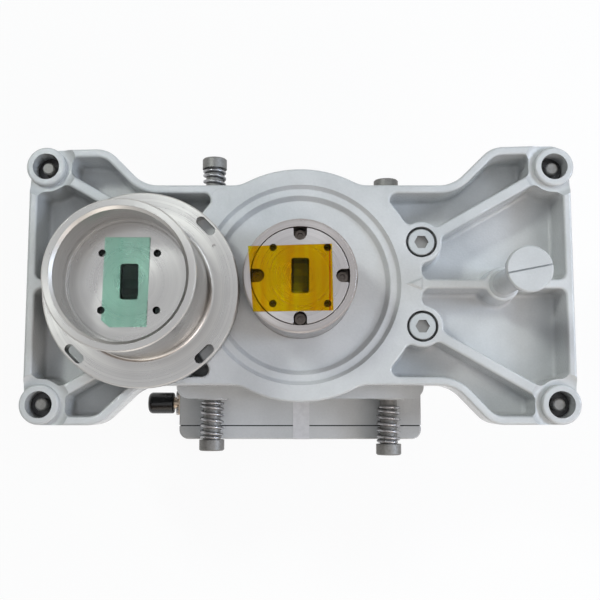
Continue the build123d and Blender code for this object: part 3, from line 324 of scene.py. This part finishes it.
MATERIALS = {
    "cast_grey": painted("cast_grey", (0.52, 0.53, 0.53), (0.61, 0.62, 0.62), 0.40, 1.2),
    "hub": turned("hub_aluminium", HUB_AXIS, "Z", (0.35, 0.325, 0.315), (0.45, 0.42, 0.41), 0.30),
    "disc": turned(
        "disc_aluminium", HUB_AXIS, "Z", (0.38, 0.36, 0.355), (0.49, 0.465, 0.46), 0.30, DISC_HOLES
    ),
    "cup": turned("cup_aluminium", CUP_AXIS, "Z", (0.43, 0.42, 0.41), (0.54, 0.53, 0.51), 0.30),
    "radio": turned("radio_aluminium", RADIO_AXIS, "X", (0.62, 0.62, 0.63), (0.76, 0.76, 0.77), 0.32),
    "milled_aluminium": plain_metal("milled_aluminium", (0.60, 0.60, 0.61), (0.72, 0.72, 0.73), 0.32),
    "steel": plain_metal("steel", (0.40, 0.39, 0.38), (0.52, 0.51, 0.50), 0.38),
    "coated": plain_metal("coated_steel", (0.20, 0.195, 0.185), (0.27, 0.265, 0.255), 0.5, 0.6),
    "dark_steel": plain_metal("dark_steel", (0.10, 0.085, 0.075), (0.18, 0.155, 0.14), 0.4),
    "painted_steel": painted(
        "painted_steel", (0.46, 0.48, 0.48), (0.55, 0.57, 0.57), 0.4, 0.5, CLAMP_SOCKETS
    ),
    "spring_steel": plain_metal("spring_wire", (0.30, 0.30, 0.31), (0.44, 0.44, 0.45), 0.32),
    "amber_film": film("amber_film", (0.97, 0.66, 0.002), (1.0, 0.84, 0.012), 0.08, CREASE_X),
    "green_film": film("green_film", (0.68, 0.94, 0.84), (0.74, 0.97, 0.88), 0.05),
    "paper": soft_plastic("label_paper", (0.66, 0.66, 0.67), (0.72, 0.72, 0.73), 0.55, 400),
    "seal_rubber": soft_plastic("seal_rubber", (0.012, 0.012, 0.012), (0.02, 0.02, 0.02), 0.6),
    "plated_brass": turned("plated_brass", COAX_AXIS, "X", (0.42, 0.34, 0.26), (0.60, 0.50, 0.40), 0.3),
    "white_plastic": soft_plastic("white_plastic", (0.70, 0.70, 0.68), (0.78, 0.78, 0.76), 0.4),
    "gold": plain_metal("gold", (0.75, 0.50, 0.15), (0.85, 0.60, 0.2), 0.2),
    "black_plastic": soft_plastic("black_plastic", (0.006, 0.006, 0.007), (0.010, 0.010, 0.011), 0.22, 300),
    "absorber": soft_plastic("absorber", (0.03, 0.03, 0.035), (0.05, 0.05, 0.055), 0.7),
}

# Materials of nodes and slots that aren't the one named after their slot
LOOKS = {
    "port_hub": "hub",
    "port_disc": "disc",
    "adapter_cup": "cup",
    "radio_port_left": "radio",
    "radio_port_right": "radio",
    "clamp_screws": "painted_steel",
    "port_screws": "dark_steel",
}
SLOTS = {"grey_steel": "coated"}
for row in frame["record"]["subparts"]:
    name, slot_name = row["node"], row["material_slot"]
    look = LOOKS.get(name) or SLOTS.get(slot_name, slot_name)
    mesh = nodes[name].data
    mesh.materials.clear()
    mesh.materials.append(MATERIALS[look])


# New pieces
def piece(name, shape, look, stands_for):
    """A smooth object from a bmesh, in the slot of its material, in place of a solid."""
    mesh = bpy.data.meshes.new(name)
    bmesh.ops.recalc_face_normals(shape, faces=shape.faces)
    shape.to_mesh(mesh)
    shape.free()
    for face in mesh.polygons:
        face.use_smooth = True
    mesh.materials.append(MATERIALS[look])
    made = bpy.data.objects.new(name, mesh)
    bpy.context.scene.collection.objects.link(made)
    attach(made, "coupler")
    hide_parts(stands_for)
    return made


# Springs
WIRE_RADIUS = 0.8 * MM
COIL_RADIUS = 5.4 * MM
TURNS = 4.9
END_TURNS = 0.7
END_PITCH = 1.6 * WIRE_RADIUS
GROUND_OFF = 0.27 * WIRE_RADIUS
WIRE_SIDES = 12
STEPS_PER_TURN = 44


def coil(start, axis, length):
    """Round-wire compression spring with closed, ground ends, from a start along an axis."""
    shape = bmesh.new()
    side = axis.orthogonal().normalized()
    other = axis.cross(side)
    total = TURNS + 2 * END_TURNS
    rise = (length - 2 * WIRE_RADIUS - 2 * END_TURNS * END_PITCH) / TURNS

    def height(turn):
        low = min(turn, END_TURNS) * END_PITCH
        middle = min(max(turn - END_TURNS, 0), TURNS) * rise
        high = max(turn - END_TURNS - TURNS, 0) * END_PITCH
        return WIRE_RADIUS + low + middle + high

    count = int(total * STEPS_PER_TURN)
    rows = []
    for step in range(count + 1):
        turn = total * step / count
        angle = 2 * math.pi * turn
        out = side * math.cos(angle) - other * math.sin(angle)
        centre = start + out * COIL_RADIUS + axis * height(turn)
        row = []
        for corner in range(WIRE_SIDES):
            bend = 2 * math.pi * corner / WIRE_SIDES
            point = centre + (out * math.cos(bend) + axis * math.sin(bend)) * WIRE_RADIUS
            depth = (point - start).dot(axis)
            clipped = min(max(depth, GROUND_OFF), length - GROUND_OFF)
            row.append(shape.verts.new(point + axis * (clipped - depth)))
        rows.append(row)
    for near, far in zip(rows, rows[1:]):
        for corner in range(WIRE_SIDES):
            following = (corner + 1) % WIRE_SIDES
            shape.faces.new((near[corner], near[following], far[following], far[corner]))
    shape.faces.new(rows[0])
    shape.faces.new(rows[-1][::-1])
    return shape


for corner in CORNERS:
    # Side spring, from its seat on the body to its screw's head
    low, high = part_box(f"side_spring_{corner}")
    inward = 1 if corner.startswith("lower") else -1
    outer_y = low.y if inward > 0 else high.y
    length = high.y - low.y
    start = Vector(((low.x + high.x) / 2, outer_y, (low.z + high.z) / 2))
    shape = coil(start, Vector((0, inward, 0)), length)
    made = piece(f"spring_side_{corner}", shape, "spring_steel", f"side_spring_{corner}")
    made.parent = None
    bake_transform(made)
    # Corner spring, squashed against the plate by its screw's head
    low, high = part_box(f"corner_spring_{corner}")
    start = Vector(((low.x + high.x) / 2, (low.y + high.y) / 2, low.z))
    length = high.z - low.z
    shape = coil(start, Vector((0, 0, 1)), length)
    made = piece(f"spring_corner_{corner}", shape, "spring_steel", f"corner_spring_{corner}")
    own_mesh(made)


# Films, in millimetres from the axis of the part that they lie on
FILM_CELL = 0.8
FILM_THICKNESS = 0.06
FILM_GAP = 0.02
CREASE_HEIGHT = 0.22
CREASE_SPREAD = 0.5
FREE_RADIUS = 22.5
FREE_REACH = 4.0
FREE_LIFT = 0.5
PORT_FILM = [(-23.4, 13.2), (14.2, 14.3), (14.75, -15.7), (-20.9, -16.3)]
CUP_FILM = [(-11.0, 19.7), (9.1, 19.7), (8.0, -19.9), (-8.2, -20.1), (-11.9, -17.0)]


def ripples(x, y, height, closeness, level):
    """Height of a film with low ripples, taken from one level of the noise."""
    return FILM_GAP + height * (1 + noise.noise(Vector((x * closeness, y * closeness, level))))


def port_lift(x, y):
    """Height of the amber film over the hub's face, with its crease and its free corners."""
    fold = CREASE_HEIGHT * math.exp(-((x - CREASE_X) / CREASE_SPREAD) ** 2)
    free = FREE_LIFT * max(0.0, (math.hypot(x, y) - FREE_RADIUS) / FREE_REACH) ** 2
    return ripples(x, y, 0.04, 0.16, 0.4) + fold + free


def cup_lift(x, y):
    """Height of the green film over the cup's floor."""
    return ripples(x, y, 0.06, 0.13, 2.7)


def film_sheet(centre, corners, lift):
    """A film cut to a polygon, with its height at each point given by a function."""
    shape = bmesh.new()
    points = [Vector((x * MM, y * MM)) for x, y in corners]
    low = Vector((min(p.x for p in points), min(p.y for p in points)))
    high = Vector((max(p.x for p in points), max(p.y for p in points)))
    columns = int((high.x - low.x) / (FILM_CELL * MM)) + 1
    rows = int((high.y - low.y) / (FILM_CELL * MM)) + 1
    across = [low.x + (high.x - low.x) * i / columns for i in range(columns + 1)]
    up = [low.y + (high.y - low.y) * j / rows for j in range(rows + 1)]
    grid = [[shape.verts.new((x, y, 0)) for y in up] for x in across]
    for i in range(columns):
        for j in range(rows):
            shape.faces.new((grid[i][j], grid[i + 1][j], grid[i + 1][j + 1], grid[i][j + 1]))
    middle = sum(points, Vector((0, 0))) / len(points)
    for a, b in zip(points, points[1:] + points[:1]):
        normal = Vector(((b - a).y, -(b - a).x, 0))
        if normal.xy.dot(middle - a) > 0:
            normal.negate()
        everything = shape.verts[:] + shape.edges[:] + shape.faces[:]
        bmesh.ops.bisect_plane(
            shape, geom=everything, plane_co=(a.x, a.y, 0), plane_no=normal, clear_outer=True
        )
    for vertex in shape.verts:
        vertex.co.z = lift(vertex.co.x / MM, vertex.co.y / MM) * MM
        vertex.co += Vector(centre) * MM
    skin = bmesh.ops.extrude_face_region(shape, geom=shape.faces[:])
    for item in skin["geom"]:
        if isinstance(item, bmesh.types.BMVert):
            item.co.z += FILM_THICKNESS * MM
    return shape


port_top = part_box("port_film")[0].z / MM
cup_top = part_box("cup_film")[0].z / MM
piece("amber_film", film_sheet((*HUB_AXIS[:2], port_top), PORT_FILM, port_lift), "amber_film", "port_film")
piece("green_film", film_sheet((*CUP_AXIS[:2], cup_top), CUP_FILM, cup_lift), "green_film", "cup_film")


# Floor
FLOOR_SIZE = 4.0
FLOOR_GAP = 0.5 * MM
FLOOR_BOUNCE = 0.3
FLOOR_WHITE = 0.86
GLOW_SHARE = 0.92


def seen_directly(tree):
    """1 for what the camera, a reflection or a clear film shows, else 0."""
    path = add(tree, "LightPath").outputs
    seen = calc(tree, "MAXIMUM", path["Is Camera Ray"], path["Is Glossy Ray"])
    return calc(tree, "MAXIMUM", seen, path["Is Transmission Ray"])


def floor_material():
    """Floor that looks white, with the part's shadow, and throws back a plain level of light."""
    made, tree, _ = new_material("floor_white")
    seen = seen_directly(tree)
    matt = add(tree, "BsdfDiffuse", {"Color": spread(tree, seen, 0, 1, FLOOR_BOUNCE, FLOOR_WHITE)})
    glow = add(tree, "Emission", {"Color": (1, 1, 1, 1), "Strength": 1.0})
    share = calc(tree, "MULTIPLY", seen, GLOW_SHARE)
    mixed = add(tree, "MixShader", {0: share, 1: matt.outputs[0], 2: glow.outputs[0]})
    add(tree, "OutputMaterial", {0: mixed.outputs[0]})
    return made


floor_shape = bmesh.new()
bmesh.ops.create_grid(floor_shape, x_segments=1, y_segments=1, size=FLOOR_SIZE / 2)
floor_mesh = bpy.data.meshes.new("floor")
floor_shape.to_mesh(floor_mesh)
floor_shape.free()
floor_mesh.materials.append(floor_material())
floor = bpy.data.objects.new("floor", floor_mesh)
floor.location.z = -FLOOR_GAP
bpy.context.scene.collection.objects.link(floor)

# Lights, all aimed at the part's middle
# Name, azimuth and height in degrees, distance and side in metres, watts and colour of each
MIDDLE = Vector((0, 0, 0.12))
LIGHTS = [
    ("window", 0, 33, 1.10, 0.32, 5.0, (0.72, 0.83, 1.0)),
    ("ceiling", 0, 89, 1.30, 1.50, 4.7, (0.89, 0.94, 1.0)),
    ("lamp", 138, 48, 1.30, 0.20, 5.6, (0.94, 1.0, 0.97)),
    ("front", 270, 22, 1.10, 0.50, 1.6, (1.0, 0.93, 0.84)),
    ("front_right", 315, 38, 1.10, 0.50, 3.6, (1.0, 0.92, 0.88)),
    ("right_back", 42, 42, 1.10, 0.30, 2.0, (0.88, 0.94, 1.0)),
]
for name, azimuth, lift, distance, side, power, colour in LIGHTS:
    turn, rise = math.radians(azimuth), math.radians(lift)
    out = Vector((math.cos(rise) * math.cos(turn), math.cos(rise) * math.sin(turn), math.sin(rise)))
    data = bpy.data.lights.new(name, "AREA")
    data.shape = "SQUARE"
    data.size = side
    data.energy = power
    data.color = colour
    light = bpy.data.objects.new(name, data)
    light.location = MIDDLE + distance * out
    light.rotation_euler = (-out).to_track_quat("-Z", "Y").to_euler()
    bpy.context.scene.collection.objects.link(light)

# Room, where it is seen or reflected: white to 14 degrees over the horizon, then darker towards the front
FRONT_WALL = (0.20, 0.145, 0.11)
BACK_WALL = (0.40, 0.41, 0.42)
WALL_FADE = (-0.6, 0.5)
WHITE_TOP = 0.25
PLAIN_LIGHT = (0.95, 0.97, 1.0, 1)
PLAIN_STRENGTH = 0.05
world = bpy.data.worlds.new("studio")
world.use_nodes = True
sky = world.node_tree
sky.nodes.clear()
along = add(sky, "SeparateXYZ", {0: add(sky, "TexCoord").outputs["Generated"]}).outputs
walls = tint(sky, spread(sky, along["Y"], *WALL_FADE), FRONT_WALL, BACK_WALL)
room = swapped(sky, calc(sky, "LESS_THAN", along["Z"], WHITE_TOP), walls, (1.0, 1.0, 1.0))
plain = add(sky, "Background", {"Color": PLAIN_LIGHT, "Strength": PLAIN_STRENGTH})
shown = add(sky, "Background", {"Color": room, "Strength": 1.0})
both = add(sky, "MixShader", {0: seen_directly(sky), 1: plain.outputs[0], 2: shown.outputs[0]})
add(sky, "OutputWorld", {0: both.outputs[0]})
bpy.context.scene.world = world
bpy.context.scene.view_settings.view_transform = "Standard"
